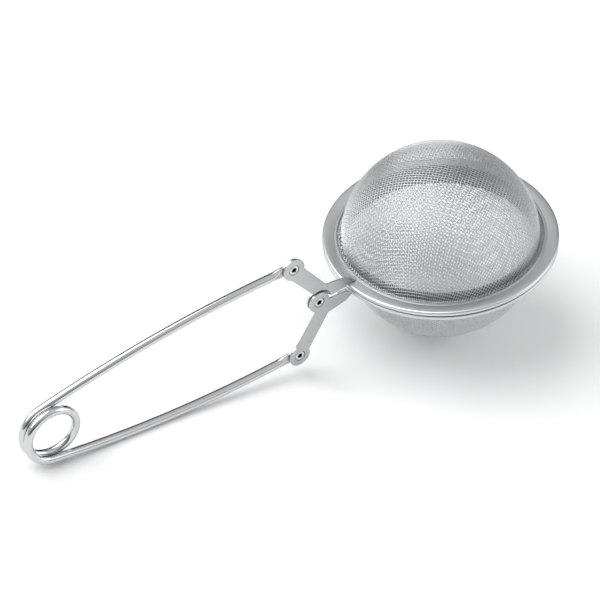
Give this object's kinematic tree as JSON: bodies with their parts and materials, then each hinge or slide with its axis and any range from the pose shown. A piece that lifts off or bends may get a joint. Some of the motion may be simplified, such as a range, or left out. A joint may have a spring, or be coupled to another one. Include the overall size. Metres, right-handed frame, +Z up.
{
  "type": "tea infuser",
  "caption": "Spring-handled mesh tea infuser: woven wire bowls in sheet-metal rims close into a ball, and squeezing the wire handle opens them.",
  "frame": {"origin": "middle of the footprint on the surface that the closed tool lies on, which touches the lower bowl and the coil", "axes": "+X along the tool from the handle's coil to the ball, +Z up, Y along the three pivots"},
  "size_m": [0.1504, 0.06, 0.0511],
  "materials": {
    "polished_wire": "bright polished stainless spring wire",
    "link_sheet": "satin stamped stainless sheet",
    "rim_sheet": "satin spun stainless sheet",
    "collar_sheet": "satin stainless sheet",
    "woven_mesh": "fine plain-woven stainless wire",
    "rivet": "satin stainless eyelet"
  },
  "bodies": {
    "lower_half": {"lower_rim_ring": "rim_sheet", "lower_collar": "collar_sheet", "lower_mesh_bowl": "woven_mesh", "lower_link": "link_sheet", "pivot_rivet": "rivet", "lower_handle_rivet": "rivet"},
    "upper_half": {"upper_rim_ring": "rim_sheet", "upper_collar": "collar_sheet", "upper_mesh_bowl": "woven_mesh", "upper_link": "link_sheet", "upper_handle_rivet": "rivet"},
    "lower_arm": {"lower_handle_arm": "polished_wire"},
    "upper_arm": {"upper_handle_arm": "polished_wire"}
  },
  "joints": [
    {"name": "jaw", "type": "hinge", "parent": "lower_half", "child": "upper_half", "pos_m": [0.00744, 0, 0.02081], "axis": [0, -1, 0], "range_deg": [0, 60], "stiffness_Nm_per_rad": 0.05, "springref_deg": -28.65},
    {"name": "lower_handle_pivot", "type": "hinge", "parent": "lower_half", "child": "lower_arm", "pos_m": [0.00309, 0, 0.00554], "axis": [0, -1, 0], "range_deg": [0, 34.1]},
    {"name": "coil_flex", "type": "hinge", "parent": "lower_arm", "child": "upper_arm", "pos_m": [-0.06761, 0, 0.00886], "axis": [0, 1, 0], "range_deg": [0, 8.3]}
  ],
  "couplings": [
    {"joint": "lower_handle_pivot", "follows": "jaw", "ratio": 0.568},
    {"joint": "coil_flex", "follows": "jaw", "ratio": 0.137}
  ]
}
